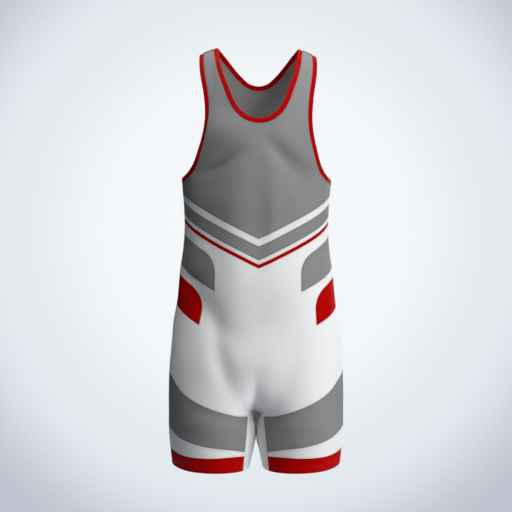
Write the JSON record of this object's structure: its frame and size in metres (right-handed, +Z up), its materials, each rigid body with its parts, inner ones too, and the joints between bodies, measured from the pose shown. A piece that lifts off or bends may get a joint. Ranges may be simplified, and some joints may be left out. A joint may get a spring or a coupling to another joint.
{
  "type": "wrestling singlet",
  "caption": "Sleeveless wrestling singlet with short legs, chevron chest stripes, side insets and bound neck and armholes, hollow and open at neck, arms and legs.",
  "frame": {"origin": "mount shoulders, midway between the tops of the two straps, where the wearer's shoulders hold the garment", "axes": "+Z up along the garment, front faces -Y, +X is the wearer's left"},
  "size_m": [0.3342, 0.2303, 0.7985],
  "materials": {
    "grey_knit": "smooth matte stretch knit",
    "white_knit": "smooth matte stretch knit",
    "red_knit": "smooth matte stretch knit",
    "red_binding": "folded knit tape, slight sheen"
  },
  "bodies": {
    "root": {"front_yoke": "grey_knit", "back_yoke": "grey_knit", "front_band_white": "white_knit", "front_band_grey": "grey_knit", "front_band_thin": "white_knit", "front_band_red": "red_knit", "back_band_white": "white_knit", "back_band_grey": "grey_knit", "back_band_thin": "white_knit", "back_band_red": "red_knit", "front_body": "white_knit", "back_body": "white_knit", "side_grey_left": "grey_knit", "side_grey_right": "grey_knit", "side_red_left": "red_knit", "side_red_right": "red_knit", "leg_grey_left": "grey_knit", "leg_grey_right": "grey_knit", "leg_white_left": "white_knit", "leg_white_right": "white_knit", "hem_red_left": "red_knit", "hem_red_right": "red_knit", "gusset": "white_knit", "neck_binding": "red_binding", "armhole_binding_left": "red_binding", "armhole_binding_right": "red_binding"}
  },
  "joints": []
}
